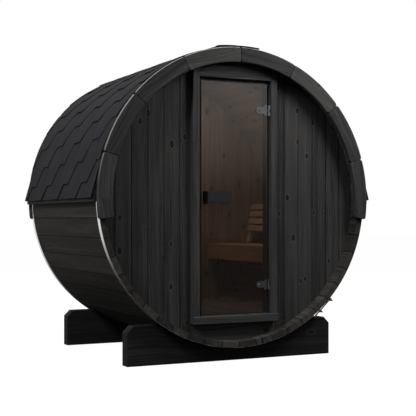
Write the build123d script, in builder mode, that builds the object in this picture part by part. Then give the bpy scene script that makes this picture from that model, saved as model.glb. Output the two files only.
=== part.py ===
from build123d import *
from math import ceil, cos, radians, sin, sqrt, tan
import os

os.makedirs("parts", exist_ok=True)

# Barrel sauna, in millimetres. +X is to the right of someone who faces the door, +Y runs from
# the door to the back wall and +Z is up. The origin is on the ground, under the middle.

# Barrel
stave_count = 48
stave_length = 1493.0
stave_inner = 946.0
stave_thickness = 38.0
stave_edge_bevel = 2.0
joint_gap = 0.4
tongue_width = 10.0
tongue_height = 7.0
tongue_taper = 1.0
groove_clearance = 0.5
seat_clearance = 0.3

# End walls, set in a groove that is cut round the inside of the staves
wall_recess = 89.0
wall_thickness = 38.0
croze_depth = 10.0
croze_clearance = 0.4
board_pitch = 112.5
board_edge_bevel = 2.5
board_tongue_width = 7.0

# Fascia boards on the ends of the staves, which also cover the ends of the roof
fascia_cover = 5.8
fascia_width = 100.0
fascia_thickness = 28.0
fascia_count = 8
fascia_drop_angle = 8.0
fascia_corner = 17.0
fascia_gap = 0.6
fascia_edge = 4.0

# Roof over the upper half, with an eave batten along each side
roof_thickness = 6.0
flare_angle = 14.0
batten_drop = 26.0
batten_rise = 45.0

# Hoops and the bolts that draw them tight
hoop_width = 40.0
hoop_thickness = 1.5
hoop_edge = 1.0
tension_angle = -47.0
lug_spacing = 104.0
lug_thickness = 6.0
lug_height = 30.0
tension_bolt_radius = 5.0
tension_bolt_tail = 62.0
bolt_clearance = 0.3
nut_radius = 9.5
nut_height = 8.0

# Cradles, with a web of wood left under the barrel
cradle_web = 94.6
cradle_length = 1520.0
cradle_height = 259.0
cradle_thickness = 90.0
cradle_bevel = 42.0
cradle_inset = 90.0
cradle_edge = 3.0

# Door opening and frame
opening_half = 267.0
jamb_width = 50.0
frame_proud = 42.0
frame_depth = 120.0
frame_edge = 3.0
head_level = 800.0
sill_level = -775.0
sill_height = 50.0
sill_nose = 15.0
sill_bevel = 5.0
stop_width = 26.0
stop_thickness = 12.0

# Glass door
glass_side_gap = 19.5
glass_top_gap = 21.0
glass_thickness = 8.0
glass_setback = 21.0
swing_clearance = 5.0
glass_corner = 4.0

# Door handle: an end block that carries a pull plate clear of the glass
handle_block_width = 17.0
handle_block_depth = 40.0
handle_block_height = 84.0
handle_block_level = 5.0
handle_block_edge = 2.0
handle_inset = 12.0
pull_length = 180.0
pull_height = 74.0
pull_thickness = 8.0
pull_setback = 3.0
pull_corner = 20.0
pull_edge = 1.5

# Door hinges
hinge_levels = (600.0, -580.0)
hinge_axis_inset = 10.0
hinge_axis_proud = 9.0
hinge_pin_radius = 4.0
pin_clearance = 0.05
knuckle_radius = 6.5
knuckle_height = 70.0
knuckle_gap = 0.6
hinge_plate_length = 84.0
hinge_plate_height = 46.0
hinge_plate_thickness = 4.0
hinge_plate_end = 5.0
hinge_root_width = 22.0
hinge_web_thickness = 3.0
hinge_base_thickness = 3.0
hinge_base_depth = 26.0

# Bench along the right side
bench_reach = 516.0
bench_level = -334.0
bench_board_height = 117.0
bench_board_thickness = 24.0
slat_width = 88.0
slat_gap = 10.0
slat_thickness = 27.0
slat_count = 4
slat_edge = 3.0
bearer_width = 45.0
bearer_height = 70.0

# Backrest over the bench, leaning back on posts
seat_depth = 333.0
backrest_lean = 12.0
backrest_rise = 106.0
backrest_slat_height = 43.0
backrest_slat_gap = 16.0
backrest_slat_thickness = 18.0
backrest_slat_count = 4
post_width = 45.0
post_thickness = 28.0

# Floor
floor_level = -777.0
floor_thickness = 27.0
floor_board_width = 96.0
floor_board_gap = 6.0
floor_end_gap = 4.0
floor_edge = 2.0
joist_width = 45.0
joist_count = 3
joist_drop = 62.0

# Worked out from the sizes above
half_pitch = radians(180 / stave_count)
stave_pitch = 360 / stave_count
stave_outer = stave_inner + stave_thickness
barrel_radius = stave_outer / cos(half_pitch)
axis_height = cradle_web + seat_clearance + barrel_radius
stave_front = -stave_length / 2
stave_back = stave_length / 2
front_wall_face = stave_front + wall_recess
front_wall_back = front_wall_face + wall_thickness
back_wall_face = stave_back - wall_recess - wall_thickness
back_wall_back = stave_back - wall_recess
croze_radius = stave_inner + croze_depth
wall_radius = croze_radius - croze_clearance
lining_radius = stave_inner - seat_clearance
hoop_inner = barrel_radius + seat_clearance
hoop_outer = hoop_inner + hoop_thickness
roof_inner = hoop_outer + seat_clearance
roof_outer = roof_inner + roof_thickness
fascia_outer = roof_outer + fascia_cover
frame_front = front_wall_face - frame_proud
frame_back = frame_front + frame_depth
frame_half = opening_half + jamb_width
sill_bottom = sill_level - sill_height
glass_front = frame_front + glass_setback
glass_back = glass_front + glass_thickness
glass_half = opening_half - glass_side_gap
glass_top = head_level - glass_top_gap
glass_bottom = sill_level + swing_clearance
bench_front = stave_inner - bench_reach
backrest_foot = bench_front + seat_depth


def across(y):
    """Upright plane across the barrel at y, centred on the barrel's axis and facing the door."""
    return Plane(origin=(0, y, axis_height), x_dir=(1, 0, 0), z_dir=(0, -1, 0))


def level(z):
    """Level plane at a height above the barrel's axis."""
    return Plane.XY.offset(axis_height + z)


def save(piece, name):
    """Label a finished piece and write it."""
    piece.part.label = name
    export_step(piece.part, f"parts/{name}.step")


# Staves

def joint_point(reach, out, side):
    """Point by a stave's edge: reach from the axis along the joint, out past the joint."""
    x = reach * cos(half_pitch) - out * sin(half_pitch)
    y = reach * sin(half_pitch) + out * cos(half_pitch)
    return (x, side * y)


def edge_points(side, half_width, taper, out):
    """A stave's edge from inside to outside, with its tongue, or its groove where out is negative."""
    inner_edge = stave_inner / cos(half_pitch) + stave_edge_bevel
    outer_edge = barrel_radius - stave_edge_bevel
    middle = (inner_edge + outer_edge) / 2
    face = -joint_gap / 2
    return [
        joint_point(inner_edge, face, side),
        joint_point(middle - half_width, face, side),
        joint_point(middle - half_width + taper, out, side),
        joint_point(middle + half_width - taper, out, side),
        joint_point(middle + half_width, face, side),
        joint_point(outer_edge, face, side),
    ]


def face_half(distance):
    """Half the width of a stave's flat at a distance from the axis, less the bevel."""
    return distance * tan(half_pitch) - joint_gap / 2 - stave_edge_bevel


groove_points = edge_points(-1, tongue_width / 2 + groove_clearance, tongue_taper,
                            -tongue_height - groove_clearance)
tongue_points = edge_points(1, tongue_width / 2, tongue_taper, tongue_height)

with BuildSketch() as stave_profile:
    with BuildLine():
        Polyline(
            (stave_inner, -face_half(stave_inner)),
            *groove_points,
            (stave_outer, -face_half(stave_outer)),
            (stave_outer, face_half(stave_outer)),
            *reversed(tongue_points),
            (stave_inner, face_half(stave_inner)),
            close=True,
        )
    make_face()

stave_groups = (
    "staves_right_upper",
    "staves_top_right",
    "staves_top_left",
    "staves_left_upper",
    "staves_left_lower",
    "staves_bottom_left",
    "staves_bottom_right",
    "staves_right_lower",
)

for group, name in enumerate(stave_groups):
    first = group * stave_count // len(stave_groups)
    count = (group + 1) * stave_count // len(stave_groups) - first
    with BuildPart() as staves:
        with BuildSketch(across(stave_back)):
            with PolarLocations(0, count, (first + 0.5) * stave_pitch, count * stave_pitch):
                add(stave_profile.sketch)
        extrude(amount=stave_length)
        for wall_back in (front_wall_back, back_wall_back):
            with BuildSketch(across(wall_back + croze_clearance)):
                Circle(croze_radius)
            extrude(amount=wall_thickness + 2 * croze_clearance, mode=Mode.SUBTRACT)
    save(staves, name)


# Fascia boards

fascia_pitch = (180 + 2 * fascia_drop_angle) / fascia_count
fascia_inner = fascia_outer - fascia_width
fascia_half_angle = fascia_pitch / 2 - fascia_gap / 2 / radians(fascia_inner)

with BuildSketch() as fascia_profile:
    with BuildLine():
        outer_edge = CenterArc((0, 0), fascia_outer, -fascia_half_angle, 2 * fascia_half_angle)
        inner_edge = CenterArc((0, 0), fascia_inner, -fascia_half_angle, 2 * fascia_half_angle)
        Line(outer_edge @ 0, inner_edge @ 0)
        Line(outer_edge @ 1, inner_edge @ 1)
    make_face()
    fillet(fascia_profile.vertices(), fascia_corner)

for end, back in (("front", stave_front), ("back", stave_back + fascia_thickness)):
    for side, first in (("right", 0), ("left", fascia_count // 2)):
        count = fascia_count // 2 if side == "right" else fascia_count - first
        start = (first + 0.5) * fascia_pitch - fascia_drop_angle
        with BuildPart() as fascia:
            with BuildSketch(across(back)):
                with PolarLocations(0, count, start, count * fascia_pitch):
                    add(fascia_profile.sketch)
            extrude(amount=fascia_thickness)
            outer_faces = fascia.faces().group_by(Axis.Y)[0 if end == "front" else -1]
            chamfer(outer_faces.edges(), fascia_edge)
        save(fascia, f"{end}_fascia_{side}")


# Roof and eave battens

def under_roof(radius, z):
    """Distance from the middle to the straight, flared foot of a roof skin at a height."""
    return (radius - z * sin(radians(flare_angle))) / cos(radians(flare_angle))


with BuildPart() as roof_right:
    with BuildSketch(across(stave_back)):
        with BuildLine():
            underside = CenterArc((0, 0), roof_inner, flare_angle, 90 - flare_angle)
            topside = CenterArc((0, 0), roof_outer, flare_angle, 90 - flare_angle)
            Line(underside @ 1, topside @ 1)
            Polyline(
                underside @ 0,
                (under_roof(roof_inner, 0), 0),
                (under_roof(roof_outer, 0), 0),
                topside @ 0,
            )
        make_face()
    extrude(amount=stave_length)
save(roof_right, "roof_right")

with BuildPart() as roof_left:
    mirror(roof_right.part, about=Plane.YZ)
save(roof_left, "roof_left")

batten_back = barrel_radius + seat_clearance
batten_radius = roof_inner - seat_clearance

with BuildPart() as eave_batten_right:
    with BuildSketch(across(stave_back)):
        with BuildLine():
            Polyline(
                (batten_back, -batten_drop),
                (under_roof(batten_radius, 0), -batten_drop),
                (under_roof(batten_radius, 0), 0),
                (under_roof(batten_radius, batten_rise), batten_rise),
                (batten_back, batten_rise),
                close=True,
            )
        make_face()
    extrude(amount=stave_length)
    for hoop_at in (stave_front + hoop_edge, stave_back - hoop_edge - hoop_width):
        with BuildSketch(across(hoop_at + hoop_width + seat_clearance)):
            Circle(hoop_outer + seat_clearance)
        extrude(amount=hoop_width + 2 * seat_clearance, mode=Mode.SUBTRACT)
save(eave_batten_right, "eave_batten_right")

with BuildPart() as eave_batten_left:
    mirror(eave_batten_right.part, about=Plane.YZ)
save(eave_batten_left, "eave_batten_left")


# Hoops, each with two upright lugs and the bolt that draws them together

lug_offset = lug_spacing / 2
lug_middle = lug_offset + lug_thickness / 2
bolt_reach = hoop_inner + lug_height / 2
band_gap_angle = 2 * lug_offset / radians(hoop_inner)
band_angle = 360 - band_gap_angle
band_start = tension_angle + band_gap_angle / 2


def bolt_plane(y, along):
    """Plane square to a tension bolt, along from the middle of its lugs, facing up the barrel."""
    angle = radians(tension_angle)
    x = bolt_reach * cos(angle) - along * sin(angle)
    z = bolt_reach * sin(angle) + along * cos(angle)
    return Plane(origin=(x, y, axis_height + z), x_dir=(0, 1, 0), z_dir=(-sin(angle), 0, cos(angle)))


for end, hoop_at in (("front", stave_front + hoop_edge), ("back", stave_back - hoop_edge - hoop_width)):
    hoop_middle = hoop_at + hoop_width / 2
    with BuildPart() as hoop:
        with BuildSketch(across(hoop_at + hoop_width)):
            with BuildLine():
                outside = CenterArc((0, 0), hoop_outer, band_start, band_angle)
                inside = CenterArc((0, 0), hoop_inner, band_start, band_angle)
                Line(outside @ 0, inside @ 0)
                Line(outside @ 1, inside @ 1)
            make_face()
            with PolarLocations(0, 1, tension_angle):
                with Locations((hoop_inner, lug_middle), (hoop_inner, -lug_middle)):
                    Rectangle(lug_height, lug_thickness, align=(Align.MIN, Align.CENTER))
        extrude(amount=hoop_width)
        with BuildSketch(bolt_plane(hoop_middle, -lug_spacing)):
            Circle(tension_bolt_radius + bolt_clearance)
        extrude(amount=2 * lug_spacing, mode=Mode.SUBTRACT)
    save(hoop, f"{end}_hoop")

    lug_outside = lug_offset + lug_thickness
    with BuildPart() as bolt:
        with BuildSketch(bolt_plane(hoop_middle, -lug_outside - tension_bolt_tail)):
            Circle(tension_bolt_radius)
        extrude(amount=2 * lug_outside + tension_bolt_tail + nut_height)
        for nut_base in (lug_outside, -lug_outside - nut_height):
            with BuildSketch(bolt_plane(hoop_middle, nut_base)):
                RegularPolygon(nut_radius, 6)
            extrude(amount=nut_height)
    save(bolt, f"{end}_hoop_bolt")


# Cradles

for end, face in (
    ("front", stave_front + cradle_inset),
    ("back", stave_back - cradle_inset - cradle_thickness),
):
    with BuildPart() as cradle:
        with BuildSketch(across(face + cradle_thickness)) as cradle_outline:
            with Locations((0, -axis_height)):
                Rectangle(cradle_length, cradle_height, align=(Align.CENTER, Align.MIN))
            chamfer(cradle_outline.vertices().group_by(Axis.Y)[-1], cradle_bevel)
            Circle(barrel_radius + seat_clearance, mode=Mode.SUBTRACT)
        extrude(amount=cradle_thickness)
        for side in (0, -1):
            straight_edges = cradle.faces().sort_by(Axis.Y)[side].edges().filter_by(GeomType.LINE)
            chamfer(straight_edges.sort_by(Axis.Z)[1:], cradle_edge)
    save(cradle, f"{end}_cradle")


# End walls of upright tongue-and-groove boards

board_half = board_pitch / 2 - joint_gap / 2
wall_half = wall_thickness / 2
groove_half = board_tongue_width / 2 + groove_clearance

with BuildSketch() as board_profile:
    with BuildLine():
        Polyline(
            (-board_half + board_edge_bevel, -wall_half),
            (board_half - board_edge_bevel, -wall_half),
            (board_half, -wall_half + board_edge_bevel),
            (board_half, -board_tongue_width / 2),
            (board_half + tongue_height, -board_tongue_width / 2),
            (board_half + tongue_height, board_tongue_width / 2),
            (board_half, board_tongue_width / 2),
            (board_half, wall_half - board_edge_bevel),
            (board_half - board_edge_bevel, wall_half),
            (-board_half + board_edge_bevel, wall_half),
            (-board_half, wall_half - board_edge_bevel),
            (-board_half, groove_half),
            (-board_half + tongue_height + groove_clearance, groove_half),
            (-board_half + tongue_height + groove_clearance, -groove_half),
            (-board_half, -groove_half),
            (-board_half, -wall_half + board_edge_bevel),
            close=True,
        )
    make_face()

outer_board = ceil(wall_radius / board_pitch - 0.5)
front_wall_middle = front_wall_face + wall_half
back_wall_middle = back_wall_face + wall_half
first_side_board = int(frame_half / board_pitch + 0.5)
side_boards = range(first_side_board, outer_board + 1)
frame_seat = frame_half + seat_clearance


def board_middles(numbers, wall_middle):
    """Middles of the boards with these numbers, counted from the board behind the door."""
    return [(number * board_pitch, wall_middle) for number in numbers]


for side, sign in (("right", 1), ("left", -1)):
    with BuildPart() as wall:
        with BuildSketch(level(-wall_radius)):
            with Locations(*board_middles([sign * number for number in side_boards], front_wall_middle)):
                add(board_profile.sketch)
        extrude(amount=2 * wall_radius)
        with BuildSketch(across(front_wall_back)):
            Circle(wall_radius)
            Rectangle(2 * frame_seat, 2 * wall_radius, mode=Mode.SUBTRACT)
        extrude(amount=wall_thickness, mode=Mode.INTERSECT)
    save(wall, f"front_wall_{side}")

back_halves = (
    ("left", range(-outer_board, 0)),
    ("right", range(0, outer_board + 1)),
)

for side, numbers in back_halves:
    with BuildPart() as wall:
        with BuildSketch(level(-wall_radius)):
            with Locations(*board_middles(numbers, back_wall_middle)):
                add(board_profile.sketch)
        extrude(amount=2 * wall_radius)
        with BuildSketch(across(back_wall_back)):
            Circle(wall_radius)
        extrude(amount=wall_thickness, mode=Mode.INTERSECT)
    save(wall, f"back_wall_{side}")

with BuildPart() as front_wall_below_door:
    with BuildSketch(across(front_wall_back)):
        with Locations((0, sill_bottom)):
            Rectangle(2 * frame_half, wall_radius, align=(Align.CENTER, Align.MAX))
        Circle(wall_radius, mode=Mode.INTERSECT)
    extrude(amount=wall_thickness)
save(front_wall_below_door, "front_wall_below_door")


# Door frame

with BuildPart() as door_jamb_right:
    with BuildSketch(across(frame_back)):
        with Locations((opening_half, sill_level)):
            Rectangle(jamb_width, 2 * stave_inner, align=(Align.MIN, Align.MIN))
        Circle(lining_radius, mode=Mode.INTERSECT)
    extrude(amount=frame_depth)
    chamfer(door_jamb_right.faces().sort_by(Axis.Y)[0].edges().filter_by(Axis.Z), frame_edge)
save(door_jamb_right, "door_jamb_right")

with BuildPart() as door_jamb_left:
    mirror(door_jamb_right.part, about=Plane.YZ)
save(door_jamb_left, "door_jamb_left")

with BuildPart() as door_head:
    with BuildSketch(across(frame_back)):
        with Locations((0, head_level)):
            Rectangle(2 * opening_half, stave_inner, align=(Align.CENTER, Align.MIN))
        Circle(lining_radius, mode=Mode.INTERSECT)
    extrude(amount=frame_depth)
    front_edges = door_head.faces().sort_by(Axis.Y)[0].edges().filter_by(Axis.X)
    chamfer(front_edges.sort_by(Axis.Z)[0], frame_edge)
save(door_head, "door_head")

with BuildPart() as door_sill:
    with BuildSketch(across(frame_back)):
        with Locations((0, sill_level)):
            Rectangle(2 * frame_half, sill_height, align=(Align.CENTER, Align.MAX))
        Circle(lining_radius, mode=Mode.INTERSECT)
    extrude(amount=frame_depth + sill_nose)
    chamfer(door_sill.edges().group_by(Axis.Y)[0].filter_by(Axis.X).sort_by(Axis.Z)[-1], sill_bevel)
save(door_sill, "door_sill")

stop_back = glass_back + swing_clearance + stop_thickness
stop_height = head_level - sill_level
stop_inner = opening_half - stop_width

with BuildPart() as door_stop:
    with BuildSketch(across(stop_back)):
        with Locations((-opening_half, sill_level)):
            Rectangle(stop_width, stop_height, align=(Align.MIN, Align.MIN))
        with Locations((joint_gap - stop_inner, head_level)):
            Rectangle(
                opening_half + stop_inner - joint_gap,
                stop_width,
                align=(Align.MIN, Align.MAX),
            )
    extrude(amount=stop_thickness)
save(door_stop, "door_stop")


# Glass door, which swings out on its right edge

with BuildPart() as door_glass:
    with BuildSketch(across(glass_back)):
        with Locations((0, glass_bottom)):
            RectangleRounded(
                2 * glass_half,
                glass_top - glass_bottom,
                glass_corner,
                align=(Align.CENTER, Align.MIN),
            )
    extrude(amount=glass_thickness)
save(door_glass, "door_glass")

handle_left = handle_inset - glass_half
handle_top = handle_block_level + handle_block_height / 2
block_front = glass_front - handle_block_depth
pull_front = block_front + pull_setback

with BuildPart() as handle_block:
    with BuildSketch(across(glass_front)):
        with Locations((handle_left, handle_top)):
            Rectangle(handle_block_width, handle_block_height, align=(Align.MIN, Align.MAX))
    extrude(amount=handle_block_depth)
    chamfer(handle_block.faces().sort_by(Axis.Y)[0].edges(), handle_block_edge)
save(handle_block, "handle_block")

with BuildPart() as handle_pull:
    with BuildSketch(across(pull_front + pull_thickness)) as pull_outline:
        with Locations((handle_left + handle_block_width, handle_top)):
            Rectangle(pull_length, pull_height, align=(Align.MIN, Align.MAX))
        fillet(pull_outline.vertices().group_by(Axis.X)[-1], pull_corner)
    extrude(amount=pull_thickness)
    chamfer(handle_pull.faces().sort_by(Axis.Y)[0].edges(), pull_edge)
save(handle_pull, "handle_pull")

hinge_axis_x = glass_half + hinge_axis_inset
hinge_axis_y = glass_front - hinge_axis_proud
plate_right = glass_half - 3 * seat_clearance
plate_left = plate_right - hinge_plate_length
plate_corner = (hinge_plate_height - hinge_plate_end) / 2
front_plate_face = glass_front - seat_clearance - hinge_plate_thickness
back_plate_back = glass_back + seat_clearance + hinge_plate_thickness
web_left = glass_half + seat_clearance
knuckle_third = knuckle_height / 3
base_face = opening_half - hinge_base_thickness

for place, hinge_level in zip(("top", "bottom"), hinge_levels):
    knuckle_base = hinge_level - knuckle_height / 2
    with BuildPart() as leaf:
        for plate_back in (front_plate_face + hinge_plate_thickness, back_plate_back):
            with BuildSketch(across(plate_back)) as plate_outline:
                with Locations((plate_left, hinge_level)):
                    Rectangle(
                        hinge_plate_length,
                        hinge_plate_height,
                        align=(Align.MIN, Align.CENTER),
                    )
                fillet(plate_outline.vertices().group_by(Axis.X)[0], plate_corner)
                with Locations((plate_right, hinge_level)):
                    Rectangle(
                        hinge_root_width,
                        knuckle_height,
                        align=(Align.MAX, Align.CENTER),
                    )
            extrude(amount=hinge_plate_thickness)
        with BuildSketch(level(knuckle_base + knuckle_third + knuckle_gap)):
            with Locations((hinge_axis_x, hinge_axis_y)):
                Circle(knuckle_radius)
            with Locations((plate_right - knuckle_radius, front_plate_face)):
                Rectangle(
                    hinge_axis_x - plate_right + knuckle_radius,
                    hinge_plate_thickness,
                    align=(Align.MIN, Align.MIN),
                )
            with Locations((web_left, front_plate_face)):
                Rectangle(
                    hinge_web_thickness,
                    back_plate_back - front_plate_face,
                    align=(Align.MIN, Align.MIN),
                )
            with Locations((web_left + hinge_web_thickness, back_plate_back)):
                Rectangle(
                    web_left + hinge_web_thickness - plate_right + knuckle_radius,
                    hinge_plate_thickness,
                    align=(Align.MAX, Align.MAX),
                )
            with Locations((hinge_axis_x, hinge_axis_y)):
                Circle(hinge_pin_radius + pin_clearance, mode=Mode.SUBTRACT)
        extrude(amount=knuckle_third - 2 * knuckle_gap)
    save(leaf, f"hinge_leaf_{place}")

    with BuildPart() as base:
        with BuildSketch(level(knuckle_base)):
            with Locations((base_face, hinge_axis_y - knuckle_radius)):
                Rectangle(
                    hinge_base_thickness,
                    hinge_base_depth,
                    align=(Align.MIN, Align.MIN),
                )
        extrude(amount=knuckle_height)
        for end_base in (knuckle_base, knuckle_base + 2 * knuckle_third):
            with BuildSketch(level(end_base)):
                with Locations((hinge_axis_x, hinge_axis_y)):
                    Circle(knuckle_radius)
                with Locations((hinge_axis_x, hinge_axis_y - knuckle_radius)):
                    Rectangle(
                        opening_half - hinge_axis_x,
                        2 * hinge_base_thickness,
                        align=(Align.MIN, Align.MIN),
                    )
            extrude(amount=knuckle_third)
        with BuildSketch(level(knuckle_base)):
            with Locations((hinge_axis_x, hinge_axis_y)):
                Circle(hinge_pin_radius)
        extrude(amount=knuckle_height)
    save(base, f"hinge_base_{place}")


# Bench

room_front = front_wall_back + seat_clearance
room_back = back_wall_face - seat_clearance
room_length = room_back - room_front
room_middle = (room_front + room_back) / 2
slat_bottom = bench_level - slat_thickness
slat_pitch = slat_width + slat_gap
slat_start = bench_front + bench_board_thickness + slat_gap

with BuildPart() as bench_front_board:
    with BuildSketch(across(room_back)):
        with Locations((bench_front, bench_level)):
            Rectangle(
                bench_board_thickness,
                bench_board_height,
                align=(Align.MIN, Align.MAX),
            )
    extrude(amount=room_length)
save(bench_front_board, "bench_front_board")

with BuildPart() as bench_slats:
    with BuildSketch(across(room_back)) as slat_ends:
        for slat in range(slat_count):
            with Locations((slat_start + slat * slat_pitch, bench_level)):
                Rectangle(slat_width, slat_thickness, align=(Align.MIN, Align.MAX))
        chamfer(slat_ends.vertices().group_by(Axis.Y)[-1], slat_edge)
    extrude(amount=room_length)
save(bench_slats, "bench_slats")

bearer_left = bench_front + bench_board_thickness


def support_backs(width):
    """Backs of three supports of this width, at the ends of the room and in its middle."""
    return (room_back, room_middle + width / 2, room_front + width)


with BuildPart() as bench_bearers:
    for bearer_back in support_backs(bearer_width):
        with BuildSketch(across(bearer_back)):
            with Locations((bearer_left, slat_bottom)):
                Rectangle(stave_inner, bearer_height, align=(Align.MIN, Align.MAX))
            Circle(lining_radius, mode=Mode.INTERSECT)
        extrude(amount=bearer_width)
save(bench_bearers, "bench_bearers")

backrest_pitch = backrest_slat_height + backrest_slat_gap
backrest_height = backrest_rise + backrest_slat_count * backrest_pitch - backrest_slat_gap


def leaning(y):
    """Plane across the barrel at y, from the foot of the backrest's face, up along the face."""
    lean = radians(backrest_lean)
    foot = (backrest_foot, y, axis_height + bench_level)
    return Plane(origin=foot, x_dir=(cos(lean), 0, -sin(lean)), z_dir=(0, -1, 0))


with BuildPart() as backrest:
    for post_back in support_backs(post_width):
        with BuildSketch(leaning(post_back)):
            with Locations((backrest_slat_thickness + seat_clearance, backrest_height)):
                Rectangle(post_thickness, 2 * backrest_height, align=(Align.MIN, Align.MAX))
        extrude(amount=post_width)
    with BuildSketch(level(bench_level + seat_clearance)):
        with Locations((0, room_middle)):
            Rectangle(2 * stave_inner, room_length)
    extrude(amount=stave_inner, mode=Mode.INTERSECT)
    with BuildSketch(leaning(room_back)) as slat_ends:
        for slat in range(backrest_slat_count):
            with Locations((0, backrest_rise + slat * backrest_pitch)):
                Rectangle(
                    backrest_slat_thickness,
                    backrest_slat_height,
                    align=(Align.MIN, Align.MIN),
                )
        chamfer(slat_ends.vertices().group_by(Axis.X)[0], slat_edge)
    extrude(amount=room_length)
save(backrest, "backrest")


# Floor

floor_bottom = floor_level - floor_thickness
floor_front = frame_back + floor_end_gap
floor_length = room_back - floor_front
floor_half = sqrt(lining_radius**2 - floor_bottom**2)
board_step = floor_board_width + floor_board_gap
floor_board_count = 2 * int((floor_half - floor_board_width / 2) / board_step) + 1
joist_bottom = floor_bottom - joist_drop
joist_places = [
    floor_front + joist_width + number * (floor_length - joist_width) / (joist_count - 1)
    for number in range(joist_count)
]

with BuildPart() as floor_boards:
    with BuildSketch(across(room_back)) as board_ends:
        with GridLocations(board_step, 1, floor_board_count, 1):
            with Locations((0, floor_level)):
                Rectangle(floor_board_width, floor_thickness, align=(Align.CENTER, Align.MAX))
        chamfer(board_ends.vertices().group_by(Axis.Y)[-1], floor_edge)
    extrude(amount=floor_length)
save(floor_boards, "floor_boards")

with BuildPart() as floor_joists:
    for joist_back in joist_places:
        with BuildSketch(across(joist_back)):
            with Locations((0, floor_bottom)):
                Rectangle(2 * stave_inner, joist_drop, align=(Align.CENTER, Align.MAX))
            Circle(lining_radius, mode=Mode.INTERSECT)
        extrude(amount=joist_width)
save(floor_joists, "floor_joists")
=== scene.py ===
import math
from functools import partial

import bmesh
import bpy
from mathutils import Matrix, Vector


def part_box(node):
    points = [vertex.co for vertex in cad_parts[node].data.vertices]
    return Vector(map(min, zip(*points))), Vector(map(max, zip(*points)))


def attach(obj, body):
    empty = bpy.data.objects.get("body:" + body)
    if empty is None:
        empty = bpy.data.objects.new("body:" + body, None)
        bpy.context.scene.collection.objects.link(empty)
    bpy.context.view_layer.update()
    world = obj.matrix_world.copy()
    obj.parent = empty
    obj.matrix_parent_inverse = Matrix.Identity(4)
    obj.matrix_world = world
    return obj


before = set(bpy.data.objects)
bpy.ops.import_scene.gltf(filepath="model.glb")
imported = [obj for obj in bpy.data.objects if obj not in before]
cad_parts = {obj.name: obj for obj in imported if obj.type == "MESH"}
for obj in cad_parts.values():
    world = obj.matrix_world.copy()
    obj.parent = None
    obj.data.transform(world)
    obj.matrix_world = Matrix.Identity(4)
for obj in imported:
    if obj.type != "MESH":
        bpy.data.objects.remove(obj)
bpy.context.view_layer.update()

# Camera
# The photograph is taken from the left of the door, level with the middle of the barrel,
# with a long lens. The horizon lies a little below the middle of the picture.
focal_pixels = 994.18
picture_pixels = 416
sensor_mm = 36.0
horizon_drop_pixels = 10.86
sideways_pixels = 0.4

camera = bpy.data.objects.new("camera", bpy.data.cameras.new("camera"))
bpy.context.scene.collection.objects.link(camera)
bpy.context.scene.camera = camera
camera.location = (-3.0752, -6.5788, 0.9464)
camera.rotation_euler = (math.pi / 2, 0, math.radians(-25.97))
camera.data.sensor_width = sensor_mm
camera.data.lens = focal_pixels / picture_pixels * sensor_mm
camera.data.shift_x = sideways_pixels / picture_pixels
camera.data.shift_y = horizon_drop_pixels / picture_pixels
camera.data.clip_end = 200
bpy.context.scene.view_settings.view_transform = "Standard"


# Studio floor and surround
# A wide pale floor under a white surround. Polished metal and glass see the surround dark
# towards the front right and low down, and pale above and behind, as in an open yard.
def linear(code):
    """Linear colour, with an alpha of 1, of an sRGB hex code."""
    parts = [int(code[at:at + 2], 16) / 255 for at in (1, 3, 5)]
    return tuple(p / 12.92 if p <= 0.04045 else ((p + 0.055) / 1.055) ** 2.4 for p in parts) + (1,)


def node(tree, kind, inputs=(), **settings):
    """A new shader node. Its inputs are values, sockets, or nodes that give their first output."""
    made = tree.nodes.new("ShaderNode" + kind)
    for name, value in settings.items():
        setattr(made, name, value)
    for socket, value in inputs.items() if isinstance(inputs, dict) else enumerate(inputs):
        if isinstance(value, bpy.types.Node):
            value = value.outputs[0]
        if isinstance(value, bpy.types.NodeSocket):
            tree.links.new(value, made.inputs[socket])
        else:
            made.inputs[socket].default_value = value
    return made


def new_material(name):
    """An empty node material and a function that adds nodes to it."""
    material = bpy.data.materials.new(name)
    material.use_nodes = True
    material.node_tree.nodes.clear()
    return material, partial(node, material.node_tree)


def mesh_object(name, shape, *materials):
    """An object at the origin from a finished bmesh."""
    data = bpy.data.meshes.new(name)
    shape.to_mesh(data)
    shape.free()
    for material in materials:
        data.materials.append(material)
    made = bpy.data.objects.new(name, data)
    bpy.context.scene.collection.objects.link(made)
    return made


floor_paint, add = new_material("white_studio_floor")
path = add("LightPath")
seen = path.outputs["Is Camera Ray"]
reflected = add("Math", (path.outputs["Is Glossy Ray"], path.outputs["Is Transmission Ray"]),
                operation="MAXIMUM")
lit_paint = add("BsdfDiffuse", (linear("#808080"),))
glow = add("Emission", (linear("#FFFFFF"), 0.94))
bright = add("AddShader", (lit_paint, glow))
place = add("SeparateXYZ", (add("TexCoord").outputs["Object"],))
behind = add("Math", (place.outputs[0], -0.47, 0.0), operation="MULTIPLY_ADD")
behind = add("Math", (place.outputs[1], 0.88, behind), operation="MULTIPLY_ADD")
sheen = add("MapRange", (behind, 1.5, 4.5, 0.0, 0.8))
mirrored = add("Math", (reflected, sheen), operation="MULTIPLY")
dull_paint = add("BsdfDiffuse", (linear("#404040"),))
far_glow = add("Emission", {"Color": linear("#FFFFFF"), "Strength": mirrored})
dull = add("AddShader", (dull_paint, far_glow))
add("OutputMaterial", (add("MixShader", (seen, dull, bright)),))

floor_shape = bmesh.new()
bmesh.ops.create_grid(floor_shape, x_segments=1, y_segments=1, size=40)
mesh_object("studio_floor", floor_shape, floor_paint)

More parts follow.
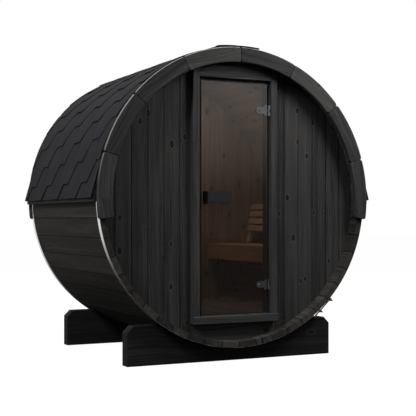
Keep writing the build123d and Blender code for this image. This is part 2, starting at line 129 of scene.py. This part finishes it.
surround = bpy.data.worlds.new("white_surround")
bpy.context.scene.world = surround
surround.use_nodes = True
surround.node_tree.nodes.clear()
add = partial(node, surround.node_tree)
path = add("LightPath")
seen = path.outputs["Is Camera Ray"]
reflected = add("Math", (path.outputs["Is Glossy Ray"], path.outputs["Is Transmission Ray"]),
                operation="MAXIMUM")
way = add("SeparateXYZ", (add("TexCoord").outputs["Generated"],))
lift = add("Math", (way.outputs[0], -0.047, way.outputs[2]), operation="MULTIPLY_ADD")
lift = add("Math", (way.outputs[1], 0.088, lift), operation="MULTIPLY_ADD")
yard = add("MapRange", (lift, -0.07, 0.05, 0.04, 1.0))
sky = add("MapRange", (way.outputs[2], -0.1, 1.0, 0.05, 0.3))
strength = add("Mix", {0: reflected, 2: sky, 3: yard})
lighting = add("Background", {"Color": linear("#FFFFFF"), "Strength": strength})
white = add("Background", (linear("#FFFFFF"), 1.0))
add("OutputWorld", (add("MixShader", (seen, lighting, white)),))


# Lamps
# One soft lamp close to the front right lights the door side, and one high on the left throws the
# shade of the overhang on the end wall. Wide ones light the roof and the back, and a small one
# under the ceiling lights the room behind the glass.
def soft_lamp(name, place, target, size, watts):
    """A square area lamp at a place, turned to a target."""
    lamp = bpy.data.objects.new(name, bpy.data.lights.new(name, "AREA"))
    bpy.context.scene.collection.objects.link(lamp)
    lamp.data.size = size
    lamp.data.energy = watts
    lamp.location = place
    lamp.visible_camera = lamp.visible_glossy = lamp.visible_transmission = False
    lamp.rotation_euler = (Vector(target) - Vector(place)).to_track_quat("-Z", "Y").to_euler()


soft_lamp("lamp_front", (1.3, -2.1, 2.75), (0.2, -0.7, 1.4), 1.1, 48)
soft_lamp("lamp_left", (-5.0, -2.5, 4.5), (-0.4, 0, 1.2), 1.0, 175)
soft_lamp("lamp_overhead", (-1.5, 1.5, 5.5), (0, 0.2, 1.2), 3.5, 40)
soft_lamp("lamp_behind", (1.6, 4.6, 3.0), (0, 0.8, 1.2), 2.0, 150)
soft_lamp("lamp_in_room", (0.0, 0.1, 1.95), (0.1, 0.2, 0.3), 0.5, 4)


# Cradles
# Two upright planks of planed spruce, each sawn to the barrel's curve. As on all the outside
# wood, a thin black stain lets the grain through as soft streaks and the knots as dark spots
# with a pale edge. Growth rings of 3 mm are drawn 7 mm apart, to show.
stain = ("#2A2929", "#504F4E")
stain_knot = ("#2C2B2A", "#121111", "#4C4B4A")
joint_colour = "#070708"
ring_gap = 0.007


def board_wood(name, lay, colours, knot_colours, knots=0.5, bare=None, joint=0.0):
    """Wood in boards, each with a shade, rings, streaks and knots of its own.

    lay gives the place across, along and into a board, and the number that is whole where two
    boards meet. bare gives faces with colours of their own, unstained or a painted highlight, and
    their colours. joint is the share of a board's width that the dark groove between two boards takes.
    """
    material, add = new_material(name)
    x, y, z = add("SeparateXYZ", (add("TexCoord").outputs["Object"],)).outputs
    across, along, into, counted = lay(add, x, y, z)
    board = add("Math", (counted,), operation="FLOOR")
    chance = add("TexWhiteNoise", {"W": board}, noise_dimensions="1D")
    own = chance.outputs["Value"]
    tone, sideways_share, deep_share = add("SeparateColor", (chance.outputs["Color"],)).outputs
    along = add("Math", (own, 9.0, along), operation="MULTIPLY_ADD")

    # A knot in some cells of 140 by 360 mm, 12 to 22 mm across, drawn out along the grain
    cell_size = (0.14, 0.36, 1.0)
    flat = add("CombineXYZ", (across, along, 0.0))
    cell_place = add("VectorMath", (flat, cell_size), operation="DIVIDE")
    cells = add("TexVoronoi", {"Vector": cell_place, "Scale": 1.0}, voronoi_dimensions="2D")
    middle = add("VectorMath", (cells.outputs["Position"], cell_size), operation="MULTIPLY")
    aside = add("VectorMath", (flat, middle), operation="SUBTRACT")
    aside = add("VectorMath", (aside, (1.0, 0.6, 0.0)), operation="MULTIPLY")
    apart = add("VectorMath", (aside,), operation="LENGTH").outputs["Value"]
    has_knot, width, _ = add("SeparateColor", (cells.outputs["Color"],)).outputs
    there = add("Math", (has_knot, knots), operation="LESS_THAN")
    radius = add("MapRange", (width, 0.0, 1.0, 0.006, 0.011))
    ragged = add("TexNoise", {"Vector": flat, "Scale": 130.0, "Detail": 2.0})
    nearness = add("Math", (ragged, 1.6, -0.8), operation="MULTIPLY_ADD")
    nearness = add("Math", (add("Math", (apart, radius), operation="DIVIDE"), nearness), operation="ADD")
    heart, bark, halo = knot_colours
    rings = add("ValToRGB", (add("Math", (nearness, 4.0), operation="DIVIDE"),))
    stops = rings.color_ramp.elements
    stops[0].color = linear(heart)
    stops[1].color = linear(halo)[:3] + (0,)
    stops[1].position = 0.7
    for stop, code, cover in ((0.12, heart, 1.0), (0.20, bark, 1.0), (0.28, bark, 0.9), (0.38, halo, 0.5)):
        stops.new(stop).color = linear(code)[:3] + (cover,)
    knot_cover = add("Math", (rings.outputs["Alpha"], there), operation="MULTIPLY")
    swirl = add("MapRange", (nearness, 5.0, 0.5), interpolation_type="SMOOTHSTEP")
    swirl = add("Math", (swirl, there), operation="MULTIPLY")

    # Growth rings round a wandering heart, as streaks along the board and arcs on its ends
    slow = add("CombineXYZ", (add("Math", (own, 50.0), operation="MULTIPLY"),
                              add("Math", (along, 1.3), operation="MULTIPLY"), 0.0))
    wander = add("TexNoise", {"Vector": slow, "Scale": 1.0, "Detail": 2.0}, noise_dimensions="2D")
    drift = add("MapRange", (wander, 0.0, 1.0, -0.05, 0.05))
    drift = add("Math", (sideways_share, 0.12, drift), operation="MULTIPLY_ADD")
    sideways = add("Math", (add("Math", (across, 0.06, -0.06), operation="WRAP"), drift), operation="ADD")
    deep = add("Math", (into, add("MapRange", (deep_share, 0.0, 1.0, 0.03, 0.11))), operation="ADD")
    deep = add("Math", (deep, 0.16, 0.02), operation="WRAP")
    from_heart = add("CombineXYZ", (sideways, deep, 0.0))
    ring = add("VectorMath", (from_heart,), operation="LENGTH").outputs["Value"]
    ring = add("Math", (swirl, -0.014, ring), operation="MULTIPLY_ADD")
    late = add("Math", (add("Math", (ring, ring_gap), operation="DIVIDE"),), operation="FRACT")
    late = add("Math", (late, 2.0), operation="POWER")

    # Fine streaks 3 mm wide and broad shades 30 mm wide
    grain = add("CombineXYZ", (across, along, into))
    fine_place = add("VectorMath", (grain, (330.0, 7.0, 330.0)), operation="MULTIPLY")
    fine = add("TexNoise", {"Vector": fine_place, "Scale": 1.0, "Detail": 3.0})
    broad_place = add("VectorMath", (grain, (34.0, 1.6, 34.0)), operation="MULTIPLY")
    broad = add("TexNoise", {"Vector": broad_place, "Scale": 1.0, "Detail": 2.0})
    figure = add("Math", (fine, 0.45), operation="MULTIPLY")
    figure = add("Math", (late, 0.30, figure), operation="MULTIPLY_ADD")
    figure = add("Math", (broad, 0.80, figure), operation="MULTIPLY_ADD")
    figure = add("Math", (tone, 0.36, figure), operation="MULTIPLY_ADD")
    shade = add("MapRange", (figure, 0.65, 1.45))

    dark, light = colours
    colour = add("Mix", {0: shade, 6: linear(dark), 7: linear(light)}, data_type="RGBA").outputs[2]
    colour = add("Mix", {0: knot_cover, 6: colour, 7: rings.outputs[0]}, data_type="RGBA").outputs[2]
    if joint:
        from_middle = add("Math", (add("Math", (counted,), operation="FRACT"), 0.5), operation="SUBTRACT")
        from_middle = add("Math", (from_middle,), operation="ABSOLUTE")
        groove = add("MapRange", (from_middle, 0.5 - joint / 2, 0.5 - joint / 5, 0.0, 0.9))
        colour = add("Mix", {0: groove, 6: colour, 7: linear(joint_colour)}, data_type="RGBA").outputs[2]
    # Faces with colours of their own: unstained wood, or a painted highlight
    if bare:
        faces, dark, light, knot = bare
        pale = add("Mix", {0: shade, 6: linear(dark), 7: linear(light)}, data_type="RGBA").outputs[2]
        pale = add("Mix", {0: knot_cover, 6: pale, 7: linear(knot)}, data_type="RGBA").outputs[2]
        colour = add("Mix", {0: faces(add, x, y, z), 6: colour, 7: pale}, data_type="RGBA").outputs[2]
    rough = add("MapRange", (figure, 0.5, 1.5, 0.72, 0.86))
    relief = add("Math", (late, 0.35, fine), operation="MULTIPLY_ADD")
    relief = add("Math", (knot_cover, -0.6, relief), operation="MULTIPLY_ADD")
    bump = add("Bump", {"Height": relief, "Distance": 0.0004, "Strength": 0.7})
    wood = add("BsdfPrincipled", {"Base Color": colour, "Roughness": rough, "Normal": bump,
                                  "Specular IOR Level": 0.08})
    add("OutputMaterial", (wood,))
    return material


def finish_nodes(material, *names):
    """Give a material to the CAD nodes of these names, or whose names start with them."""
    for name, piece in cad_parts.items():
        if name.startswith(names):
            piece.data.materials.clear()
            piece.data.materials.append(material)


def crosswise_lay(add, x, y, z):
    """Boards that lie from left to right, one high, at the front and the back."""
    return z, x, y, add("Math", (y,), operation="SIGN")


cradle_wood = board_wood("stained_spruce_cradles", crosswise_lay, ("#222224", "#403F41"), stain_knot,
                         knots=0.25)
finish_nodes(cradle_wood, "front_cradle", "back_cradle")

# Staves
# 48 tongue-and-groove staves of spruce, stained outside and at the open ends. The faces that
# look into the room, between the end walls, are bare.
barrel_axis_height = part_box("roof_right")[0].z
stave_count = 48
stave_radius = 0.965
room_radius = 0.953
bare_wood = ("#8C765C", "#BFA27F", "#66513C")
room_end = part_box("front_wall_left")[1].y


def round_barrel(add, x, z):
    """Angle about the barrel's axis, height above it and distance from it."""
    height = add("Math", (z, barrel_axis_height), operation="SUBTRACT")
    angle = add("Math", (height, x), operation="ARCTAN2")
    distance = add("VectorMath", (add("CombineXYZ", (x, height, 0.0)),), operation="LENGTH")
    return angle, height, distance.outputs["Value"]


def stave_lay(add, x, y, z):
    """Boards round the barrel."""
    angle, _, distance = round_barrel(add, x, z)
    counted = add("Math", (angle, stave_count / math.tau), operation="MULTIPLY")
    return add("Math", (angle, stave_radius), operation="MULTIPLY"), y, distance, counted


def room_side_of_staves(add, x, y, z):
    """1 on the faces of the staves between the end walls."""
    _, _, distance = round_barrel(add, x, z)
    inner = add("Math", (distance, room_radius), operation="LESS_THAN")
    between = add("Math", (add("Math", (y,), operation="ABSOLUTE"), -room_end), operation="LESS_THAN")
    return add("Math", (inner, between), operation="MULTIPLY")


stave_wood = board_wood("stained_spruce_staves", stave_lay, ("#2A2826", "#5E5B57"), stain_knot, joint=0.08,
                        bare=(room_side_of_staves, *bare_wood))
finish_nodes(stave_wood, "staves_")

# Hoops
# Bright strip of rolled steel, 40 by 1.5 mm, drawn tight by a long bolt at the lower right.
# Rolling leaves faint lines along it, which spread its reflections a little. The bolt and its
# ears are plated with zinc, whose crystals, 5 mm across, are duller and less dull, and painted shade
# darkens their colour.
steel, add = new_material("bright_rolled_steel")
place = add("TexCoord").outputs["Object"]
x, y, z = add("SeparateXYZ", (place,)).outputs
angle, _, distance = round_barrel(add, x, z)
lines_place = add("CombineXYZ", (angle, add("Math", (y, 700.0), operation="MULTIPLY"),
                                 add("Math", (distance, 700.0), operation="MULTIPLY")))
lines = add("TexNoise", {"Vector": lines_place, "Scale": 1.0, "Detail": 2.0})
cloud = add("TexNoise", {"Vector": place, "Scale": 14.0, "Detail": 3.0})
rough = add("MapRange", (cloud, 0.3, 0.7, 0.2, 0.34))
bump = add("Bump", {"Height": lines, "Distance": 0.0001, "Strength": 0.3})
strip = add("BsdfPrincipled", {"Base Color": linear("#E2E3E4"), "Metallic": 1.0, "Roughness": rough,
                               "Normal": bump})
add("OutputMaterial", (strip,))
finish_nodes(steel, "front_hoop", "back_hoop")

zinc, add = new_material("dull_zinc_bolts")
spangle = add("TexNoise", {"Vector": add("TexCoord").outputs["Object"], "Scale": 220.0, "Detail": 2.0})
rough = add("MapRange", (spangle, 0.3, 0.7, 0.38, 0.55))
# Zinc is duller than bright steel, and the colour is also painted darker, as painted shade on the bolt and
# its ears
plated = add("BsdfPrincipled", {"Base Color": linear("#6B6C6D"), "Metallic": 1.0, "Roughness": rough})
add("OutputMaterial", (plated,))
finish_nodes(zinc, "front_hoop_bolt", "back_hoop_bolt")

# End walls
# Upright tongue-and-groove boards set in a groove round the inside of the staves, stained on
# the weather side and bare on the room side.
wall_board_width = 0.1125
wall_middle = 0.635


def upright_lay(add, x, y, z):
    """Upright boards, the middle one on the barrel's axis. The back wall has its own numbers."""
    counted = add("Math", (x, 1 / wall_board_width, 0.5), operation="MULTIPLY_ADD")
    end = add("Math", (y,), operation="SIGN")
    return x, z, y, add("Math", (end, 40.0, counted), operation="MULTIPLY_ADD")


def room_side_of_walls(add, x, y, z):
    """1 on the half of each end wall that looks into the room."""
    return add("Math", (add("Math", (y,), operation="ABSOLUTE"), wall_middle), operation="LESS_THAN")


wall_wood = board_wood("stained_spruce_walls", upright_lay, stain, stain_knot, knots=0.8, joint=0.06,
                       bare=(room_side_of_walls, *bare_wood))
finish_nodes(wall_wood, "front_wall_left", "front_wall_right", "back_wall_left", "back_wall_right")
apron_wood = board_wood("stained_spruce_apron", crosswise_lay, ("#363535", "#62615F"), stain_knot)
finish_nodes(apron_wood, "front_wall_below_door", "door_head", "door_sill")

# Door frame
# Two jambs, a head and a sill of stained spruce, screwed to the wall round the doorway, with
# a thin stop for the glass.
def jamb_lay(add, x, y, z):
    """Upright boards, one each side of the door."""
    return x, z, y, add("Math", (x,), operation="SIGN")


jamb_wood = board_wood("stained_spruce_jambs", jamb_lay, ("#343333", "#605F5D"), stain_knot, knots=0.2)
finish_nodes(jamb_wood, "door_jamb_", "door_stop")

# Glass door
# One pane of 8 mm toughened glass with a bronze tint, which lets light through to the room. It
# mirrors the surround, and a faint film of dust on it greys what is seen through it.
glass, add = new_material("bronze_toughened_glass")
tint = linear("#B0AAA6")
pane = add("BsdfPrincipled", {"Base Color": tint, "Roughness": 0.0, "IOR": 1.5, "Transmission Weight": 1.0})
dust = add("BsdfDiffuse", (linear("#CFCBC7"),))
pane = add("MixShader", (0.014, pane, dust))
clear = add("BsdfTransparent", (tint,))
path = add("LightPath")
passing = add("Math", (path.outputs["Is Shadow Ray"], path.outputs["Is Diffuse Ray"]), operation="MAXIMUM")
add("OutputMaterial", (add("MixShader", (passing, pane, clear)),))
finish_nodes(glass, "door_glass")

# Hinges
# Two glass-door hinges in satin chrome. Each leaf clamps the pane with a bolt, whose dome
# head shows on both sides. The satin finish blurs reflections, here more and there less.
bolt_radius = 0.0075
bolt_height = 0.004
bolt_from_end = 0.021
plate_stand = 0.0043
plate_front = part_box("door_glass")[0].y - plate_stand

chrome, add = new_material("satin_chrome")
cloud = add("TexNoise", {"Vector": add("TexCoord").outputs["Object"], "Scale": 60.0, "Detail": 3.0})
rough = add("MapRange", (cloud, 0.3, 0.7, 0.2, 0.34))
# The chrome's colour is painted dark, as a painted reflection of dark surroundings
plating = add("BsdfPrincipled", {"Base Color": linear("#777879"), "Metallic": 1.0, "Roughness": rough})
add("OutputMaterial", (plating,))
finish_nodes(chrome, "hinge_")

for hinge in ("top", "bottom"):
    low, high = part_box(f"hinge_leaf_{hinge}")
    bolt = bmesh.new()
    for face in (plate_front, high.y):
        dome = bmesh.ops.create_uvsphere(bolt, u_segments=20, v_segments=10, radius=bolt_radius)["verts"]
        bmesh.ops.scale(bolt, vec=(1, bolt_height / bolt_radius, 1), verts=dome)
        bmesh.ops.translate(bolt, vec=(low.x + bolt_from_end, face, (low.z + high.z) / 2), verts=dome)
    bmesh.ops.recalc_face_normals(bolt, faces=bolt.faces)
    for polygon in bolt.faces:
        polygon.smooth = True
    bolt_heads = mesh_object(f"hinge_bolts_{hinge}", bolt, chrome)
    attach(bolt_heads, "door")

# Door handle
# A block bolted to the glass, which carries a pull plate. The plate is steel brushed along its
# length, its colour a painted dark reflection of the ground, and the block is powder-coated, matt and
# speckled.
satin, add = new_material("satin_steel")
x, y, z = add("SeparateXYZ", (add("TexCoord").outputs["Object"],)).outputs
lines_place = add("CombineXYZ", (add("Math", (x, 6.0), operation="MULTIPLY"), y,
                                 add("Math", (z, 900.0), operation="MULTIPLY")))
lines = add("TexNoise", {"Vector": lines_place, "Scale": 1.0, "Detail": 2.0})
rough = add("MapRange", (lines, 0.3, 0.7, 0.32, 0.44))
# The steel's colour is painted dark, as a painted reflection of the ground
plate = add("BsdfPrincipled", {"Base Color": linear("#3E4042"), "Metallic": 1.0, "Roughness": rough})
add("OutputMaterial", (plate,))
finish_nodes(satin, "handle_pull")

black, add = new_material("black_powder_coat")
specks = add("TexNoise", {"Vector": add("TexCoord").outputs["Object"], "Scale": 900.0})
bump = add("Bump", {"Height": specks, "Distance": 0.0001, "Strength": 0.4})
shade = add("MapRange", (specks, 0.3, 0.7))
colour = add("Mix", {0: shade, 6: linear("#040404"), 7: linear("#0A0A0B")}, data_type="RGBA").outputs[2]
coat = add("BsdfPrincipled", {"Base Color": colour, "Roughness": 0.6, "Normal": bump,
                              "Specular IOR Level": 0.05})
add("OutputMaterial", (coat,))
finish_nodes(black, "handle_block")

# Floor, bench and backrest
# Planed boards of pale spruce, left bare, screwed to joists, bearers and posts. The floor is
# darker and greyer than the bench and the slats.
bench_board_pitch = 0.098
slats_per_metre = 17.0


def lengthwise_lay(add, x, y, z):
    """Boards that run from front to back."""
    return x, y, z, add("Math", (x, bench_board_pitch), operation="DIVIDE")


def backrest_lay(add, x, y, z):
    """Slats that run from front to back, one above another."""
    return z, y, x, add("Math", (z, slats_per_metre), operation="MULTIPLY")


floor_wood = board_wood("bare_spruce_floor", lengthwise_lay, ("#6F5F50", "#97826E"),
                        ("#5A4838", "#4A3B2E", "#97826E"))
finish_nodes(floor_wood, "floor_")
seat_colours = ("#B58C62", "#E4C096")
seat_knots = ("#7E6047", "#5E4735", "#C8A684")
bench_wood = board_wood("bare_spruce_bench", lengthwise_lay, seat_colours, seat_knots, knots=0.2)
finish_nodes(bench_wood, "bench_")
slat_wood = board_wood("bare_spruce_backrest", backrest_lay, seat_colours, seat_knots, knots=0.2)
finish_nodes(slat_wood, "backrest")

# Eave battens
# One batten of stained spruce along each side, nailed to the staves under the foot of the roof,
# which stands on it.
def batten_lay(add, x, y, z):
    """Boards that run from front to back, one each side."""
    return z, y, x, add("Math", (x,), operation="SIGN")


batten_wood = board_wood("stained_spruce_battens", batten_lay, stain, stain_knot, knots=0.1)
finish_nodes(batten_wood, "eave_batten_")

# Fascia boards
# Eight short boards round each end, sawn to the curve out of straight planks, so that the grain
# runs straight across each one, and held by four dark screws. A pale painted highlight lies along
# the front arris of the upper ones.
fascia_pitch = math.radians(24.5)
fascia_drop = math.radians(8)
screw_radius = 0.0042
screw_rows = (0.925, 0.975)
screw_from_end = math.radians(2.4)
# Where the painted highlight lies on the front boards: beyond this radius, in front of this y
highlight_radius = 0.9955
highlight_from = -0.764


def fascia_lay(add, x, y, z):
    """Boards round each end of the barrel, with straight grain. The back has its own numbers."""
    angle, height, _ = round_barrel(add, x, z)
    counted = add("Math", (angle, fascia_drop), operation="ADD")
    counted = add("Math", (counted, fascia_pitch), operation="DIVIDE")
    half_way = add("Math", (add("Math", (counted,), operation="FLOOR"), 0.5), operation="ADD")
    turn = add("Math", (half_way, fascia_pitch, -fascia_drop), operation="MULTIPLY_ADD")
    turned = add("VectorRotate", {"Vector": add("CombineXYZ", (x, height, 0.0)),
                                  "Angle": add("Math", (turn, -1.0), operation="MULTIPLY")},
                 rotation_type="Z_AXIS")
    outward, along, _ = add("SeparateXYZ", (turned,)).outputs
    end = add("Math", (y,), operation="SIGN")
    return outward, along, y, add("Math", (end, 20.0, counted), operation="MULTIPLY_ADD")


def fascia_arris_painted_highlight(add, x, y, z):
    """The strength of a painted highlight along the front arris of the front boards, most at the top."""
    _, height, distance = round_barrel(add, x, z)
    outside = add("Math", (distance, highlight_radius), operation="GREATER_THAN")
    in_front = add("Math", (y, highlight_from), operation="LESS_THAN")
    arris = add("Math", (outside, in_front), operation="MULTIPLY")
    highlight_share = add("MapRange", (height, 0.1, 0.4, 0.1, 1.0))
    return add("Math", (arris, highlight_share), operation="MULTIPLY")


# The pale greys are a painted highlight along the front arris, not bare wood
fascia_wood = board_wood("stained_spruce_fascia", fascia_lay, ("#2B2B2B", "#535251"), stain_knot, knots=0.3,
                         bare=(fascia_arris_painted_highlight, "#8A8987", "#BAB8B4", "#6A6966"))
finish_nodes(fascia_wood, "front_fascia_", "back_fascia_")

# Blackened screws show as small dull dots
blackened, add = new_material("blackened_steel_screw")
oxide = add("BsdfPrincipled", {"Base Color": linear("#2A2A2B"), "Metallic": 1.0, "Roughness": 0.5})
add("OutputMaterial", (oxide,))

screws = bmesh.new()
fascia_faces = (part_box("front_fascia_left")[0].y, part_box("back_fascia_left")[1].y)
for board in range(8):
    board_start = board * fascia_pitch - fascia_drop
    for at in (board_start + screw_from_end, board_start + fascia_pitch - screw_from_end):
        for row in screw_rows:
            for face in fascia_faces:
                head = bmesh.ops.create_cone(
                    screws, segments=12, cap_ends=True, cap_tris=False,
                    radius1=screw_radius, radius2=screw_radius * 0.8, depth=0.001,
                    matrix=Matrix.Rotation(math.copysign(math.pi / 2, -face), 4, "X"))["verts"]
                screw_at = (row * math.cos(at), face, barrel_axis_height + row * math.sin(at))
                bmesh.ops.translate(screws, vec=screw_at, verts=head)
bmesh.ops.recalc_face_normals(screws, faces=screws.faces)
fascia_screws = mesh_object("fascia_screws", screws, blackened)
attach(fascia_screws, "cabin")

# Shingles
# Strips of mineral-surfaced bitumen felt, nailed from the eaves up, each half over the last.
# The lower edge of a strip is cut into tabs with slanting sides, and the next strip is shifted
# by half a tab, so that each tab shows as a six-sided tile.
felt_thickness = 0.0040
course = 0.1443
first_course = 0.0997
tab_flat = 0.11
tab_pitch = 0.379
tab_slant = tab_pitch / 2 - tab_flat
tab_start = -0.5445
strip_courses = 2.15
strip_rows = 6
course_count = 11
eave_trim = -0.004
skin_clearance = 0.0006

roof_low, roof_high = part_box("roof_right")
roof_radius = roof_high.z - barrel_axis_height
flare = math.radians(14)
flare_length = roof_radius * math.tan(flare)
ridge_climb = flare_length + roof_radius * (math.pi / 2 - flare)

# Crushed slate pressed into bitumen is matt. Its grains of 1 mm are drawn 4 mm across, to show
felt, add = new_material("mineral_surfaced_felt")
place = add("TexCoord").outputs["Object"]
grit = add("TexNoise", {"Vector": place, "Scale": 260.0, "Detail": 3.0, "Roughness": 0.7})
patch = add("TexNoise", {"Vector": place, "Scale": 7.0, "Detail": 3.0})
tone = add("Math", (patch, 0.4, grit), operation="MULTIPLY_ADD")
shade = add("MapRange", (tone, 0.47, 0.93))
colour = add("Mix", {0: shade, 6: linear("#1B1A1C"), 7: linear("#343336")}, data_type="RGBA").outputs[2]
bump = add("Bump", {"Height": grit, "Distance": 0.0015, "Strength": 0.6})
surface = add("BsdfPrincipled", {"Base Color": colour, "Roughness": 0.95, "Normal": bump,
                                 "Specular IOR Level": 0.2})
add("OutputMaterial", (surface,))

# Where the felt is cut, the bitumen shows, near black
cut_edge, add = new_material("cut_bitumen_edge")
crumbs = add("TexNoise", {"Vector": add("TexCoord").outputs["Object"], "Scale": 400.0})
colour = add("Mix", {0: crumbs, 6: linear("#0A0A0A"), 7: linear("#1A1A1B")}, data_type="RGBA").outputs[2]
edge = add("BsdfPrincipled", {"Base Color": colour, "Roughness": 0.9, "Specular IOR Level": 0.1})
add("OutputMaterial", (edge,))

finish_nodes(felt, "roof_")


def roof_point(side, climb, y, lift):
    """Place on one side of the roof: a way up from the eave, at y, lifted off the skin."""
    if climb < flare_length:
        x = roof_radius / math.cos(flare) - climb * math.sin(flare) + lift * math.cos(flare)
        z = climb * math.cos(flare) + lift * math.sin(flare)
    else:
        angle = flare + (climb - flare_length) / roof_radius
        x = (roof_radius + lift) * math.cos(angle)
        z = (roof_radius + lift) * math.sin(angle)
    return Vector((side * x, y, barrel_axis_height + z))


def lower_edge(number, y):
    """How far up the roof the cut edge of a strip runs, at y."""
    shift = tab_start if number % 2 == 0 else tab_start - tab_pitch / 2
    aside = abs((y - shift + tab_pitch / 2) % tab_pitch - tab_pitch / 2)
    rise = min(max((aside - tab_flat / 2) / tab_slant, 0), 1)
    return max(first_course + (number + rise) * course, eave_trim)


def strip_corners(number, low, high):
    """Where the cut edge of a strip turns, from its low end to its high end."""
    shift = tab_start if number % 2 == 0 else tab_start - tab_pitch / 2
    reaches = [tab_flat / 2, tab_pitch / 2 - tab_flat / 2]
    if number < 0:
        trimmed = (eave_trim - first_course) / course - number
        reaches[0] += trimmed * tab_slant
    first_tab = math.floor((low - shift) / tab_pitch)
    last_tab = math.ceil((high - shift) / tab_pitch)
    turns = [shift + tab * tab_pitch + sign * reach
             for tab in range(first_tab, last_tab + 1) for reach in reaches for sign in (-1, 1)]
    return [low] + sorted(turn for turn in turns if low + 0.001 < turn < high - 0.001) + [high]


def lay_sheet(shape, columns, rows, place_of):
    """A grid of felt, each corner moved to where it lies on the roof, facing outwards."""
    sheet = bmesh.ops.create_grid(shape, x_segments=columns, y_segments=rows, size=1)["verts"]
    for corner in sheet:
        column = round((corner.co.x + 1) / 2 * columns)
        corner.co = place_of(column, (corner.co.y + 1) / 2)
    faces = {polygon for corner in sheet for polygon in corner.link_faces}
    for polygon in faces:
        polygon.normal_update()
    wrong = [polygon for polygon in faces
             if polygon.normal.dot(polygon.calc_center_median() - Vector((0, 0, barrel_axis_height))) < 0]
    bmesh.ops.reverse_faces(shape, faces=wrong)


def felt_object(name, shape):
    """A roofing piece of felt, given its thickness, with dark cut edges."""
    made = mesh_object(name, shape, felt, cut_edge)
    thickness = made.modifiers.new("felt_thickness", "SOLIDIFY")
    thickness.thickness = felt_thickness
    thickness.offset = 1
    thickness.material_offset_rim = 1
    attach(made, "cabin")


gap_to_fascia = 0.001
y_low = roof_low.y + gap_to_fascia
y_high = roof_high.y - gap_to_fascia

for side, sign in (("right", 1), ("left", -1)):
    strips = bmesh.new()
    lay_sheet(strips, 1, 2, lambda column, up: roof_point(
        sign, eave_trim + up * first_course, y_low + column * (y_high - y_low), skin_clearance))
    for number in range(-1, course_count - 1):
        corners = strip_corners(number, y_low, y_high)
        bottom = first_course + number * course
        top = min(bottom + strip_courses * course, ridge_climb + eave_trim)

        def place_of(column, up):
            start = lower_edge(number, corners[column])
            climb = start + (top - start) * up
            layers = strip_courses - (climb - bottom) / course
            return roof_point(sign, climb, corners[column], skin_clearance + layers * felt_thickness)

        lay_sheet(strips, len(corners) - 1, strip_rows, place_of)
    felt_object(f"shingles_{side}", strips)

# Ridge caps
# Short pieces of the same felt bent over the ridge, nailed from the back to the front, each over
# the end of the one before it.
cap_half_width = 0.15
cap_exposure = 0.1443
cap_length = 0.31
cap_layers = 2.2
cap_columns = 8
caps = bmesh.new()
last_bottom = first_course + (course_count - 2) * course
cap_count = math.ceil((y_high - y_low) / cap_exposure)
for number in range(cap_count):
    cap_start = y_high - number * cap_exposure
    cap_end = max(cap_start - cap_length, y_low)

    def cap_place(column, along):
        aside = (column / cap_columns * 2 - 1) * cap_half_width
        climb = ridge_climb - abs(aside)
        beneath = strip_courses + 1 - (climb - last_bottom) / course
        y = cap_start + along * (cap_end - cap_start)
        layers = beneath + cap_layers - (cap_start - y) / cap_exposure
        return roof_point(math.copysign(1, aside), climb, y, skin_clearance + layers * felt_thickness)

    lay_sheet(caps, cap_columns, 1, cap_place)
felt_object("ridge_caps", caps)
